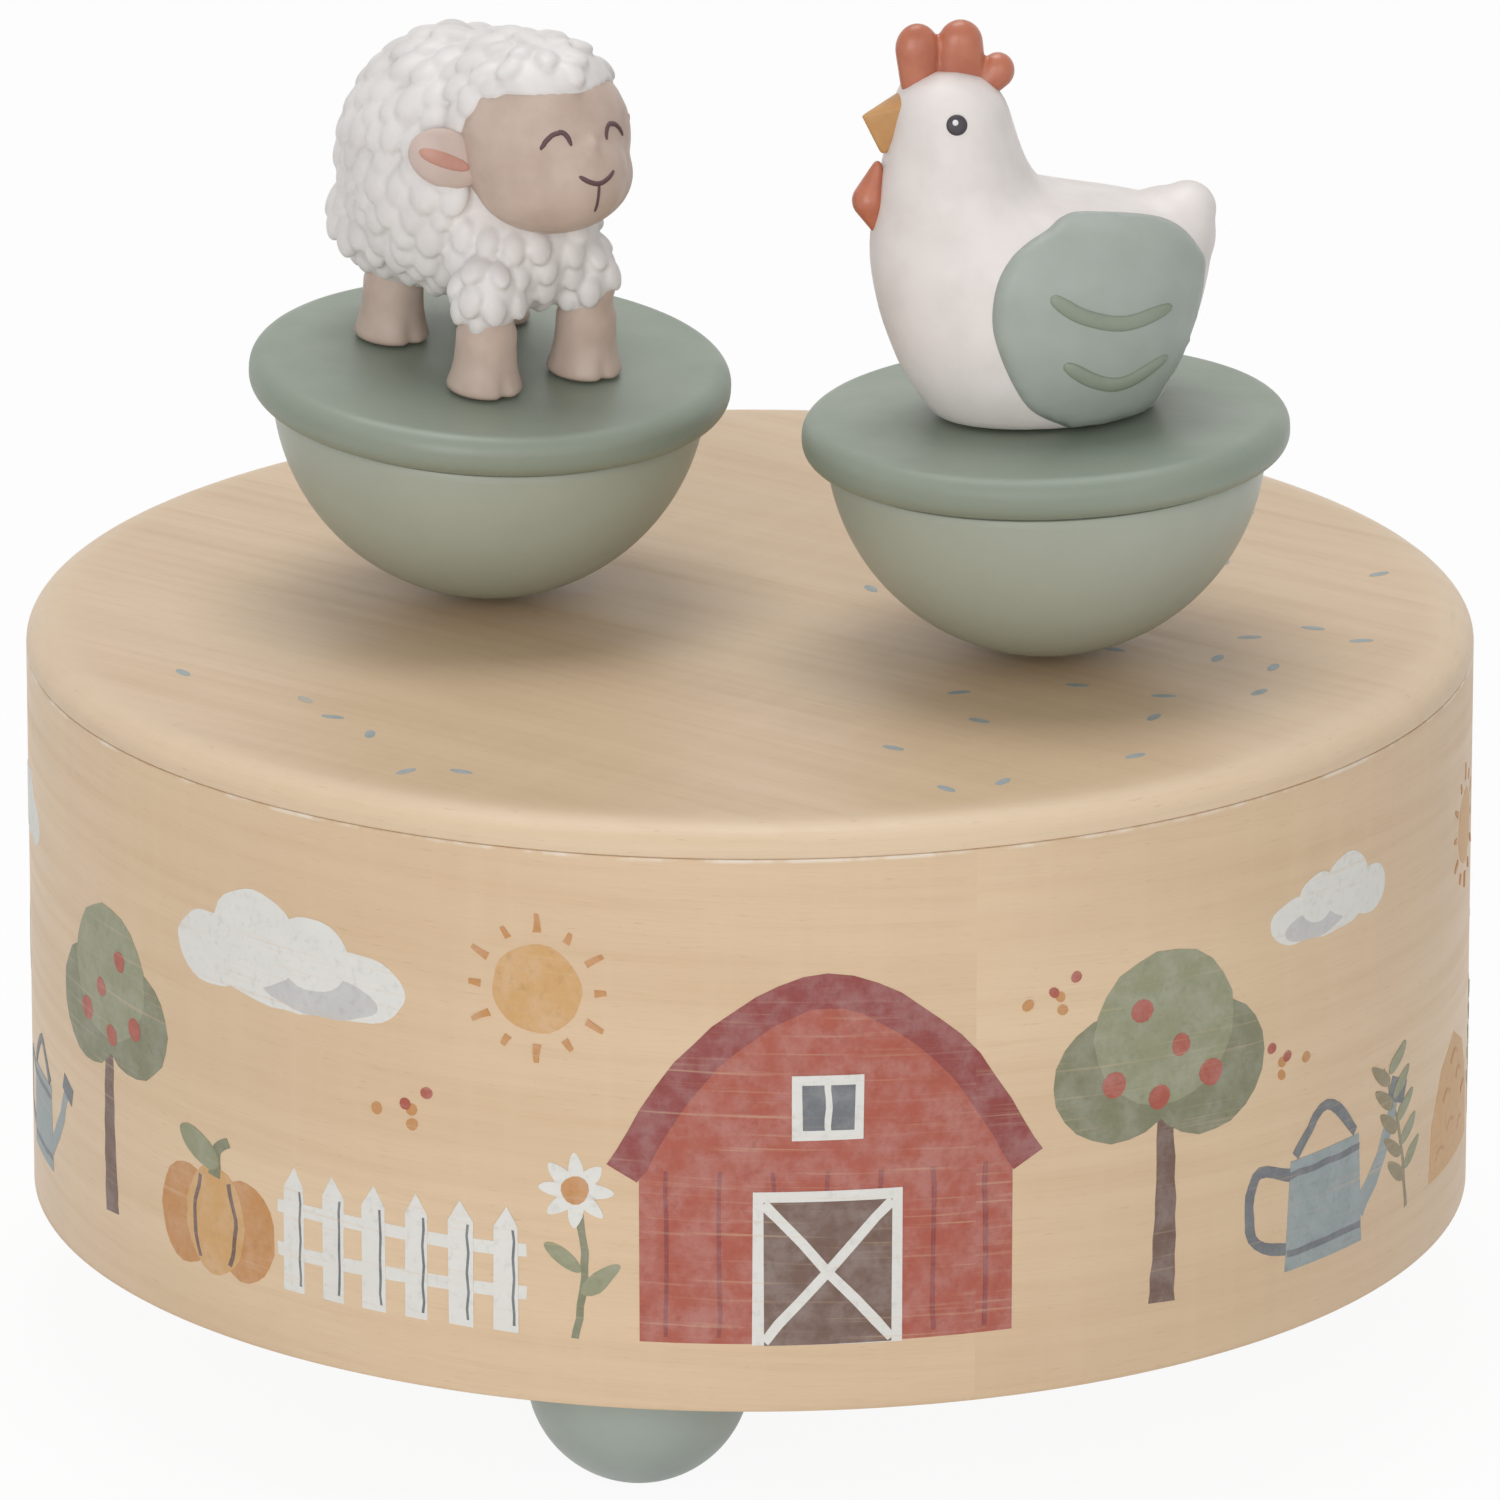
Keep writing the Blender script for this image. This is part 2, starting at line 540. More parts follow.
def eased(points, steps, closed=False):
    """A smooth curve through the points, as a list of vectors."""
    count = len(points)
    points = [Vector(p) for p in points]
    curve = []
    for i in range(count if closed else count - 1):
        if closed:
            a, b, c, d = (points[(i + k) % count] for k in (-1, 0, 1, 2))
        else:
            a, b, c, d = (points[min(max(i + k, 0), count - 1)] for k in (-1, 0, 1, 2))
        for j in range(steps):
            t = j / steps
            curve.append(0.5 * ((2 * b) + (c - a) * t + (2 * a - 5 * b + 4 * c - d) * t * t
                                + (3 * b - a - 3 * c + d) * t ** 3))
    if not closed:
        curve.append(points[-1])
    return curve


def stroke(spots, wide, high, sides=12):
    """A rounded ridge that follows (point, outward) pairs and thins out at both ends."""
    build = bmesh.new()
    last = len(spots) - 1
    rings = []
    for i, (point, out) in enumerate(spots):
        ahead = (spots[min(i + 1, last)][0] - spots[max(i - 1, 0)][0]).normalized()
        across = ahead.cross(out).normalized()
        end = min(i, last - i) / (last * 0.22)
        swell = math.sqrt(max(0.0, 1.0 - (1.0 - min(1.0, end)) ** 2)) if end < 1.0 else 1.0
        swell = max(swell, 0.08)
        rings.append([build.verts.new(point + across * wide * swell * math.cos(full_turn * k / sides)
                                      + out * high * swell * math.sin(full_turn * k / sides))
                      for k in range(sides)])
    for ring, after in zip(rings, rings[1:]):
        for k in range(sides):
            build.faces.new((ring[k - 1], ring[k], after[k], after[k - 1]))
    build.faces.new(rings[0])
    build.faces.new(rings[-1])
    return mesh_from_millimetres(build)


def mesh_from_millimetres(build):
    bmesh.ops.recalc_face_normals(build, faces=build.faces)
    mesh = bpy.data.meshes.new("part")
    build.to_mesh(mesh)
    build.free()
    return mesh


def on_skin(skin, points):
    """Pairs of the nearest point on the skin and its outward direction."""
    found = []
    for point in points:
        place, out, _, _ = skin.find_nearest(Vector(point))
        found.append((place, out))
    return found


def gathered(name, parts, place, body, stands_for=(), sharp=50.0):
    """Several parts with a finish each, as one piece."""
    looks = []
    build = bmesh.new()
    for mesh, look in parts:
        if look not in looks:
            looks.append(look)
        before = len(build.faces)
        build.from_mesh(mesh)
        build.faces.ensure_lookup_table()
        for face in build.faces[before:]:
            face.material_index = looks.index(look)
            face.smooth = True
    mesh = bpy.data.meshes.new(name)
    build.to_mesh(mesh)
    build.free()
    mesh.transform(place)
    for look in looks:
        mesh.materials.append(finishes[look])
    mesh.set_sharp_from_angle(angle=math.radians(sharp))
    made = bpy.data.objects.new(name, mesh)
    bpy.context.scene.collection.objects.link(made)
    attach(made, body)
    if stands_for:
        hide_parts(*stands_for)
    return made


def node_group(name, inputs):
    """An empty geometry group with named inputs; returns it with its input and output nodes."""
    group = bpy.data.node_groups.new(name, "GeometryNodeTree")
    group.interface.new_socket("Geometry", in_out="INPUT", socket_type="NodeSocketGeometry")
    group.interface.new_socket("Geometry", in_out="OUTPUT", socket_type="NodeSocketGeometry")
    for key, value in inputs.items():
        kind = {int: "NodeSocketInt", float: "NodeSocketFloat"}.get(type(value), "NodeSocketVector")
        made = group.interface.new_socket(key, in_out="INPUT", socket_type=kind)
        made.default_value = value
    return group, node(group, "NodeGroupInput"), node(group, "NodeGroupOutput")


def grown(thing, group, **values):
    """Adds a geometry group to an object and sets its inputs."""
    step = thing.modifiers.new(group.name, "NODES")
    step.node_group = group
    for item in group.interface.items_tree:
        if item.item_type == "SOCKET" and item.in_out == "INPUT" and item.name in values:
            step[item.identifier] = values[item.name]
    return step


def curls_group():
    """Overlapping curls of fleece: evenly spaced points on a skin, each with a bump that hangs downwards."""
    group, given, out = node_group("fleece_curls", {
        "Spacing": 2.0, "Seed": 3, "Curl": (1.3, 1.9, 0.9), "Lean": (0.24, 0.0, 0.0),
        "Uneven": 0.2})
    spread = node(group, "GeometryNodeDistributePointsOnFaces", {
        "Mesh": given.outputs["Geometry"], "Distance Min": given.outputs["Spacing"], "Density Max": 6.0,
        "Seed": given.outputs["Seed"]}, distribute_method="POISSON")
    wool = node(group, "GeometryNodeInputNamedAttribute", {"Name": "wool"}, data_type="FLOAT")
    group.links.new(wool.outputs["Attribute"], spread.inputs["Density Factor"])
    facing = node(group, "FunctionNodeAlignRotationToVector", {"Vector": spread.outputs["Normal"]}, axis="Z")
    hanging = node(group, "FunctionNodeAlignRotationToVector", {
        "Rotation": facing.outputs[0], "Vector": (0.0, 0.0, -1.0)}, axis="Y", pivot_axis="Z")
    tucked = node(group, "FunctionNodeRotateRotation", {
        "Rotation": hanging.outputs[0], "Rotate By": given.outputs["Lean"]}, rotation_space="LOCAL")
    bump = node(group, "GeometryNodeMeshIcoSphere", {"Radius": 1.0, "Subdivisions": 3})
    share = node(group, "FunctionNodeRandomValue", {"Seed": given.outputs["Seed"]}, data_type="FLOAT")
    low = node(group, "ShaderNodeMath", {0: 1.0, 1: given.outputs["Uneven"]}, operation="SUBTRACT")
    high = node(group, "ShaderNodeMath", {0: 1.0, 1: given.outputs["Uneven"]}, operation="ADD")
    group.links.new(low.outputs[0], share.inputs[2])
    group.links.new(high.outputs[0], share.inputs[3])
    sized = node(group, "ShaderNodeVectorMath", {0: given.outputs["Curl"]}, operation="SCALE")
    local = node(group, "GeometryNodeInputNamedAttribute", {"Name": "curl"}, data_type="FLOAT").outputs["Attribute"]
    group.links.new(sums(group, "MULTIPLY", share.outputs[1], local), sized.inputs["Scale"])
    placed = node(group, "GeometryNodeInstanceOnPoints", {
        "Points": spread.outputs["Points"], "Instance": bump.outputs["Mesh"],
        "Rotation": tucked.outputs[0], "Scale": sized.outputs[0]})
    real = node(group, "GeometryNodeRealizeInstances", {"Geometry": placed.outputs[0]})
    join = node(group, "GeometryNodeJoinGeometry")
    group.links.new(real.outputs[0], join.inputs[0])
    group.links.new(given.outputs["Geometry"], join.inputs[0])
    paint = node(group, "GeometryNodeSetMaterial", {"Geometry": join.outputs[0]})
    paint.inputs["Material"].default_value = finishes["fleece_white"]
    group.links.new(paint.outputs[0], out.inputs[0])
    return group


# The sheep, in its own millimetres: forward, left and up from the lid
fleece_lumps = (
    ((-3.5, -0.9, 15.2), (10.8, 9.1, 10.7), 0), ((-6.9, -0.9, 10.1), (7.7, 8.4, 5.9), 0),
    ((3.4, 0.0, 11.3), (5.3, 6.5, 6.0), 0), ((3.1, 0.0, 21.3), (6.0, 6.5, 6.4), 0),
    ((5.2, 0.2, 23.3), (5.5, 6.1, 4.6), 0),
    ((6.1, 4.2, 8.1), (2.6, 2.6, 3.5), 0), ((6.3, -4.8, 8.1), (2.75, 2.75, 3.5), 0),
    ((-7.0, 4.7, 7.5), (2.7, 2.7, 3.2), 0), ((-7.0, -4.7, 7.5), (2.7, 2.7, 3.2), 0),
    ((-8.2, -1.8, 8.5), (4.5, 5.6, 4.1), 0), ((-14.0, -0.9, 15.2), (1.7, 1.9, 2.3), 0),
)
face_lumps = (
    ((5.6, 0.2, 20.2), (6.7, 7.1, 6.9), 0), ((7.3, 0.2, 17.6), (5.7, 6.6, 4.5), 0),
    ((9.7, 0.3, 18.4), (4.0, 4.6, 4.4), 0), ((12.2, 0.35, 20.6), (1.0, 0.75, 1.9), 0),
)
face_middle = 0.3
cuff_edge = 5.6
head_middle = Vector((4.5, 0.2, 20.0))
eye_arc = ((1.65, 21.7), (1.95, 22.5), (2.5, 23.0), (3.3, 22.85), (4.0, 22.35), (4.5, 21.6))
mouth_arc = ((-1.75, 19.7), (-0.95, 19.15), (0.0, 18.85), (0.95, 19.15), (1.75, 19.7))
leg_places = ((6.4, 4.6), (6.4, -4.8), (-7.2, 4.8), (-7.2, -4.8))


def wool_here(point, margin=0.0):
    """Whether fleece grows at a point of the body, or the bare face lies there; curls keep a margin from its edges."""
    x, y, z = point
    fringe = 25.2 - 0.6 * math.exp(-(y - 0.6) ** 2) - 0.55 * max(0.0, abs(y) - 4.3) ** 2 + margin
    return 0.0 if x > 4.6 and abs(y) < 8.0 and 13.6 < z < fringe or z < cuff_edge * margin else 1.0


def curl_here(point):
    """How large the curls are: smaller on the fringe, and smallest on the cuffs of the legs."""
    x, y, z = point
    if z < 9.0:
        return 0.5 + 0.4 * max(0.0, z - 6.0) / 3.0
    return 0.75 if x > 3.0 and (z > 22.0 or z < 15.0) else 1.0


def make_leg(x, y):
    profile = [(0.0, gap * 1000), (2.8, 0.3), (2.95, 0.55), (2.88, 0.9), (2.68, 1.6), (2.5, 2.6), (2.42, 3.8),
               (2.4, 5.0), (2.1, 6.0), (2.0, 9.0), (0.0, 9.0)]
    leg = turned(profile, 48)
    for corner in leg.vertices:
        turn = math.atan2(corner.co.y, corner.co.x)
        cleft = math.exp(-(turn / 0.16) ** 2) * max(0.0, 1.0 - corner.co.z / 2.4)
        corner.co.x -= 0.55 * cleft
        corner.co.x += 0.25 * math.cos(turn) * max(0.0, 1.0 - corner.co.z / 2.0)
    return moved(leg, Matrix.Translation((x, y, 0.0)))


def make_sheep():
    base = rough_object("fleece", [fused([ball(c, h, p) for c, h, p in fleece_lumps], 0.45, 6)])
    grows = [wool_here(v.co) for v in base.data.vertices]
    curled = [wool_here(v.co, 1.0) for v in base.data.vertices]
    base.data.attributes.new("wool", "FLOAT", "POINT").data.foreach_set("value", curled)
    sizes = [curl_here(v.co) for v in base.data.vertices]
    base.data.attributes.new("curl", "FLOAT", "POINT").data.foreach_set("value", sizes)
    # The skin draws in behind the face, so that the fringe stands a step ahead of it
    for corner, share in zip(base.data.vertices, grows):
        corner.co = head_middle + (corner.co - head_middle) * (1.0 - 0.14 * (1.0 - share))
    grown(base, curls_group(), Spacing=2.0, Seed=11, Curl=(1.3, 1.85, 0.78), Uneven=0.13)
    melt = base.modifiers.new("melt", "REMESH")
    melt.mode = "VOXEL"
    melt.voxel_size = 0.2
    soft = base.modifiers.new("soften", "SMOOTH")
    soft.factor = 0.5
    soft.iterations = 4
    parts = [(baked(base), "fleece_white")]

    face = fused([ball(c, h, p) for c, h, p in face_lumps], 0.3, 10)
    skin = skin_tree(face)
    parts.append((face, "face_tan"))
    arcs = [[(12.0, face_middle + side * y, z) for y, z in eye_arc] for side in (1, -1)]
    arcs.append([(13.6, face_middle + y, z) for y, z in mouth_arc])
    for arc_points in arcs:
        parts.append((stroke(on_skin(skin, eased(arc_points, 8)), 0.2, 0.14), "line_brown"))
    chin = [(13.9, face_middle, 18.9), (13.8, face_middle, 17.6), (13.3, face_middle, 16.3)]
    parts.append((stroke(on_skin(skin, eased(chin, 8)), 0.13, 0.1), "line_brown"))
    for side in (1, -1):
        out = Vector((0.8, side * 0.55, 0.12)).normalized()
        length = Vector((-0.45, side * 0.85, 0.3))
        length = (length - out * length.dot(out)).normalized()
        up = out.cross(length)
        turn = Matrix((length, up, out)).transposed().to_4x4()
        centre = Vector((4.0, side * 7.7, 19.1))
        parts.append((ball(centre, (3.1, 2.35, 0.95), turn=turn), "ear_tan"))
        spot = centre + out * 0.74 + length * 0.15
        parts.append((ball(spot, (2.1, 0.7, 0.36), turn=turn, sides=24), "ear_pink"))
    for x, y in leg_places:
        parts.append((make_leg(x, y), "face_tan"))
    place = figure_place(sheep_place, sheep_leans, sheep_heading)
    gathered("sheep_casting", parts, place, "sheep", ("sheep_figure",), 80.0)


# The hen: height, front, back and half width of each level, then rounder lumps
hen_levels = (
    (0.3, 8.6, -8.8, 6.3), (1.3, 9.5, -9.4, 7.3), (3.9, 11.1, -10.8, 8.7), (6.1, 12.0, -11.7, 9.3),
    (9.0, 12.9, -12.7, 9.7), (12.6, 13.5, -13.4, 9.4), (15.0, 13.5, -12.6, 8.6), (16.4, 13.3, -9.4, 7.9),
    (17.5, 13.1, -4.4, 7.2), (18.6, 12.9, -0.6, 6.7), (20.4, 12.5, 0.9, 6.2), (22.9, 11.9, 1.8, 5.8),
    (25.4, 11.4, 2.5, 5.3), (26.8, 10.9, 3.4, 4.5), (27.8, 10.0, 4.6, 3.3), (28.4, 8.7, 6.0, 1.7),
)
hen_tail_lumps = (((-9.4, 0.0, 13.3), (4.6, 4.6, 4.0), 25), ((-11.7, 0.0, 15.6), (2.3, 2.6, 2.2), 0),
                  ((-8.6, 0.0, 14.9), (4.8, 3.8, 2.2), 9))
comb_lobes = (
    (((9.4, 0.0, 30.1), (1.75, 1.3, 2.05)), ((9.3, 0.0, 27.2), (1.5, 1.35, 0.8))),
    (((6.0, 0.0, 30.3), (1.8, 1.35, 1.9)), ((6.2, 0.0, 27.4), (2.2, 1.4, 0.9))),
    (((3.1, 0.0, 27.9), (1.35, 1.2, 1.45)), ((4.7, 0.0, 26.3), (1.2, 1.25, 0.9))),
)
beak_spots = (((10.7, 0.0, 25.8), (0.6, 1.6, 0.9)), ((10.7, 0.0, 23.1), (0.6, 1.5, 0.9)),
              ((13.8, 0.0, 25.0), (0.12, 0.14, 0.14)), ((12.3, 0.0, 22.3), (0.35, 0.45, 0.4)))
wattle_spots = (((12.8, 0.0, 20.9), (0.4, 0.45, 0.45)), ((13.5, 0.0, 18.2), (1.4, 1.35, 1.45)),
                ((13.0, 0.0, 16.0), (0.45, 0.55, 0.55)))
wing_edge = (
    (2.8, 16.41), (1.24, 17.34), (0.02, 18.29), (-1.7, 18.6), (-6.82, 17.92), (-9.2, 16.85), (-10.7, 14.98),
    (-11.18, 13.19), (-9.95, 7.6), (-7.9, 4.25), (-6.1, 2.1), (-1.29, 1.15), (0.76, 1.68), (2.79, 2.9),
    (4.11, 4.94), (5.24, 7.85), (5.69, 10.34), (5.28, 13.11), (4.2, 15.13),
)
wing_strokes = (((1.26, 12.26), (-1.27, 10.47), (-4.68, 9.67), (-8.31, 10.78)),
                ((0.36, 6.75), (-2.18, 5.13), (-4.57, 4.94), (-7.88, 6.78)))
wing_plane = 9.0
wing_foot = 1.15
stroke_plane = 10.2
eye_spot = (7.35, 5.0, 25.16)


def hen_loft():
    """Egg-shaped levels from the lid to the crown, skinned into one body."""
    sides = 64
    build = bmesh.new()
    levels = eased([(z, front, back) for z, front, back, _ in hen_levels], 4)
    widths = eased([(z, wide, 0.0) for z, _, _, wide in hen_levels], 4)
    rings = []
    for (z, front, back), (_, wide, _) in zip(levels, widths):
        middle, half = (front + back) / 2, (front - back) / 2
        rings.append([build.verts.new((middle + half * math.cos(full_turn * k / sides),
                                       wide * math.sin(full_turn * k / sides), z)) for k in range(sides)])
    for ring, after in zip(rings, rings[1:]):
        for k in range(sides):
            build.faces.new((ring[k - 1], ring[k], after[k], after[k - 1]))
    build.faces.new(rings[0])
    build.faces.new(rings[-1])
    return mesh_from_millimetres(build)


def seen_on(skin, eye, point):
    """Where the sight line from the camera through a point meets the skin, with its outward direction."""
    point = Vector(point)
    place, out, _, _ = skin.ray_cast(eye, (point - eye).normalized())
    if place is None:
        # Past the outline, the spot of the skin that the sight line passes closest to
        way = (point - eye).normalized()
        passes = [skin.find_nearest(point + way * (0.5 * k)) for k in range(30)]
        place, out, _, _ = min(passes, key=lambda found: found[3])
    return place, out


def drop(spots):
    """The tightest skin round a few balls."""
    build = bmesh.new()
    for centre, half in spots:
        build.from_mesh(ball(centre, half, sides=24))
    loose = bmesh.ops.convex_hull(build, input=build.verts[:])
    inner = {*loose["geom_interior"], *loose["geom_unused"]}
    bmesh.ops.delete(build, geom=[v for v in inner if isinstance(v, bmesh.types.BMVert)], context="VERTS")
    build.faces.ensure_lookup_table()
    return mesh_from_millimetres(build)


def make_wing(skin, eye, outline, thick, rounding, step):
    """A raised plate on the body, with a rounded edge; its outline is the one that the photograph shows."""
    edge = [(p.x, p.y) for p in eased([(x, z, 0.0) for x, z in outline], 6, closed=True)]
    count = len(edge)
    inside = []
    xs, zs = [p[0] for p in edge], [p[1] for p in edge]
    x = min(xs)
    while x < max(xs):
        z = min(zs)
        while z < max(zs):
            if distance_inside(edge, x, z) > step * 0.6:
                inside.append((x, z))
            z += step
        x += step
    corners = [Vector(p) for p in edge + inside]
    loop = [(i, (i + 1) % count) for i in range(count)]
    flat, _, faces, _, _, _ = geometry.delaunay_2d_cdt(corners, loop, [], 1, 0.0001)
    build = bmesh.new()
    upper, lower = [], []
    for x, z in flat:
        place, out = seen_on(skin, eye, (x, wing_plane, z))
        depth = min(1.0, max(0.0, distance_inside(edge, x, z)) / rounding)
        upper.append(build.verts.new(place + out * (0.04 + thick * math.sqrt(1.0 - (1.0 - depth) ** 2))))
        lower.append(build.verts.new(place - out * 0.5))
    border = {}
    for face in faces:
        build.faces.new([upper[i] for i in face])
        build.faces.new([lower[i] for i in reversed(face)])
        for a, b in zip(face, [*face[1:], face[0]]):
            border[(a, b)] = border.get((b, a), 0) + 1
            if (b, a) in border:
                border.pop((a, b))
                border.pop((b, a))
    for a, b in border:
        build.faces.new((upper[b], upper[a], lower[a], lower[b]))
    return mesh_from_millimetres(build)


def distance_inside(edge, x, z):
    """How far a point lies inside a closed outline; less than zero outside."""
    nearest, inside = 1e9, False
    for (ax, az), (bx, bz) in zip(edge, [*edge[1:], edge[0]]):
        dx, dz = bx - ax, bz - az
        share = max(0.0, min(1.0, ((x - ax) * dx + (z - az) * dz) / (dx * dx + dz * dz + 1e-12)))
        nearest = min(nearest, math.hypot(x - ax - share * dx, z - az - share * dz))
        if (az > z) != (bz > z) and x < (bx - ax) * (z - az) / (bz - az) + ax:
            inside = not inside
    return nearest if inside else -nearest


def make_hen():
    place = figure_place(hen_place, hen_leans, hen_heading)
    eye = place.inverted() @ bpy.context.scene.camera.location
    body = fused([hen_loft(), *(ball(c, h, p) for c, h, p in hen_tail_lumps)], 0.33, 14)
    for corner in body.vertices:
        corner.co.z = max(corner.co.z, 0.3)
    skin = skin_tree(body)
    flip = Matrix.Diagonal((1.0, -1.0, 1.0, 1.0))
    parts = [(body, "hen_white")]
    # The far wing sits lower, hidden from the camera by the back
    for side, squeeze in ((1, 1.0), (-1, 0.8)):
        outline = [(x, wing_foot + (z - wing_foot) * squeeze) for x, z in wing_edge]
        wing = make_wing(skin, eye, outline, 0.6, 1.3, 0.6)
        own = [(wing, "wing_teal")]
        feather = skin_tree(wing)
        for points in wing_strokes:
            curve = eased([(x, stroke_plane, wing_foot + (z - wing_foot) * squeeze) for x, z in points], 10)
            own.append((stroke([seen_on(feather, eye, p) for p in curve], 0.62, 0.3, 16), "wing_green"))
        spot, out = seen_on(skin, eye, eye_spot)
        turn = out.to_track_quat("Z", "Y").to_matrix().to_4x4()
        own.append((ball(spot, (0.82, 0.82, 0.24), turn=turn, sides=24), "eye_dark"))
        glint = spot + out * 0.2 + Vector((0.12, 0.0, 0.2))
        own.append((ball(glint, (0.24, 0.24, 0.1), turn=turn, sides=16), "eye_light"))
        for mesh, look in own:
            if side < 0:
                mesh.transform(flip)
                mesh.flip_normals()
            parts.append((mesh, look))
    parts.append((fused([drop(spots) for spots in comb_lobes], 0.17, 3), "comb_rust"))
    parts.append((fused([drop(beak_spots)], 0.13, 3), "beak_ochre"))
    parts.append((fused([drop(wattle_spots)], 0.13, 4), "comb_rust"))
    gathered("hen_casting", parts, place, "hen", ("hen_figure",), 80.0)


# The printed pictures, in millimetres along the ring and up from its lower edge
def oval(x, y, wide, high, lean=0.0, count=22):
    points = []
    for i in range(count):
        turn = full_turn * i / count
        a, b = wide * math.cos(turn), high * math.sin(turn)
        points.append((x + a * math.cos(lean) - b * math.sin(lean), y + a * math.sin(lean) + b * math.cos(lean)))
    return points


def ribbon(points, wide, end=None):
    """A brush line: it may taper from its width to an end width."""
    end = wide if end is None else end
    curve = eased([(x, y, 0.0) for x, y in points], 6)
    left, right = [], []
    for i, spot in enumerate(curve):
        ahead = (curve[min(i + 1, len(curve) - 1)] - curve[max(i - 1, 0)]).normalized()
        half = (wide + (end - wide) * i / (len(curve) - 1)) / 2
        left.append((spot.x - ahead.y * half, spot.y + ahead.x * half))
        right.append((spot.x + ahead.y * half, spot.y - ahead.x * half))
    return left + right[::-1]


def leaf(x, y, length, wide, lean):
    points = []
    for i in range(16):
        turn = full_turn * i / 16
        a = length / 2 * (1 + math.cos(turn))
        b = wide / 2 * math.sin(turn) * (0.6 + 0.4 * math.sin(turn / 2))
        points.append((x + a * math.cos(lean) - b * math.sin(lean), y + a * math.sin(lean) + b * math.cos(lean)))
    return points


def barn():
    yield "art_red", [(-10, 0), (10, 0), (10, 10.5), (6.2, 16.2), (0, 19.4), (-6.2, 16.2), (-10, 10.5)]
    yield "art_dark_red", ribbon([(-10.9, 9.4), (-6.5, 16.1), (0, 19.7), (6.5, 16.1), (10.9, 9.4)], 1.9)
    for i in range(7):
        yield "art_dark_red", ribbon([(-8.6 + 2.85 * i, 0.4), (-8.6 + 2.85 * i, 9.6)], 0.22)
    yield "art_white", [(-4, 0), (4, 0), (4, 8.6), (-4, 8.6)]
    yield "art_brown", [(-3.4, 0), (3.4, 0), (3.4, 8), (-3.4, 8)]
    yield "art_white", ribbon([(-3.4, 0.2), (3.4, 7.9)], 0.55)
    yield "art_white", ribbon([(-3.4, 7.9), (3.4, 0.2)], 0.55)
    yield "art_white", [(-1.9, 11.4), (1.9, 11.4), (1.9, 15), (-1.9, 15)]
    yield "art_grey", [(-1.4, 11.9), (1.4, 11.9), (1.4, 14.5), (-1.4, 14.5)]
    yield "art_white", ribbon([(0, 11.9), (0, 14.5)], 0.35)


def round_tree(high=17.0):
    yield "art_brown", ribbon([(0.2, 0), (0, high * 0.3), (0.1, high * 0.62)], 1.5, 0.8)
    yield "art_olive", oval(-2.4, high * 0.66, 3.6, 3.3)
    yield "art_olive", oval(2.6, high * 0.68, 3.5, 3.2)
    yield "art_green", oval(0, high * 0.8, 4.0, 3.8)
    for x, y, size in ((-2.6, 0.64, 0.7), (1.4, 0.86, 0.6), (2.9, 0.66, 0.65), (-0.8, 0.74, 0.55), (0.4, 0.6, 0.6)):
        yield "art_red", oval(x, high * y, size, size, count=12)


def pumpkin():
    yield "art_orange", oval(-2.1, 2.6, 2.0, 2.6)
    yield "art_orange", oval(2.1, 2.6, 2.0, 2.6)
    yield "art_pale_orange", oval(0, 2.7, 2.1, 2.8)
    yield "art_brown", ribbon([(-1.1, 0.6), (-1.5, 2.7), (-1.0, 4.8)], 0.25)
    yield "art_brown", ribbon([(1.1, 0.6), (1.5, 2.7), (1.0, 4.8)], 0.25)
    yield "art_olive", ribbon([(0, 5.0), (0.2, 6.3), (1.0, 6.9)], 0.8, 0.5)
    yield "art_green", leaf(0.3, 5.6, 3.2, 1.7, 2.7)


def fence():
    yield "art_white", ribbon([(-8.2, 2.4), (8.2, 2.4)], 0.8)
    yield "art_white", ribbon([(-8.2, 5.0), (8.2, 5.0)], 0.8)
    for i in range(6):
        x = -7 + 2.8 * i
        yield "art_white", [(x - 0.75, 0), (x + 0.75, 0), (x + 0.75, 6.3), (x, 7.5), (x - 0.75, 6.3)]
        yield "art_grey", ribbon([(x + 0.45, 0.4), (x + 0.45, 6.1)], 0.16)


def daisy(high=8.0, look="art_white"):
    yield "art_olive", ribbon([(0, 0), (0.5, high * 0.5), (0, high)], 0.4)
    yield "art_green", leaf(0.3, high * 0.3, 2.6, 1.1, 0.7)
    yield "art_green", leaf(0.3, high * 0.45, 2.4, 1.0, 2.5)
    for i in range(8):
        yield look, leaf(0, high, 2.0, 0.95, full_turn * i / 8)
    yield "art_orange", oval(0, high, 0.75, 0.75, count=14)


def watering_can():
    yield "art_grey", ribbon([(-3.0, 5.6), (-6.0, 6.2), (-6.2, 2.6), (-3.2, 1.2)], 0.7)
    yield "art_teal", ribbon([(3.2, 1.8), (5.6, 4.2), (7.4, 7.4)], 1.3, 0.9)
    yield "art_grey", [(6.4, 7.4), (8.4, 6.6), (8.9, 7.9), (7.0, 8.6)]
    yield "art_teal", [(-3.6, 0), (3.6, 0), (3.2, 6.4), (-3.2, 6.4)]
    yield "art_grey", ribbon([(-3.4, 1.0), (3.4, 1.0)], 0.4)
    yield "art_grey", ribbon([(-3.2, 5.6), (3.2, 5.6)], 0.4)
    yield "art_grey", ribbon([(-2.8, 6.6), (0, 9.0), (2.8, 6.6)], 0.6)


def sprig(count=5, lean=0.15):
    yield "art_sprig", ribbon([(0, 0), (lean * 6, 4.5), (lean * 20, 9.0)], 0.35, 0.2)
    for i in range(count):
        x, y = lean * (2 + 3.4 * i), 1.8 + 1.55 * i
        yield "art_sprig", leaf(x, y, 2.5, 0.95, 0.6)
        yield "art_green", leaf(x, y + 0.5, 2.5, 0.95, 2.55)


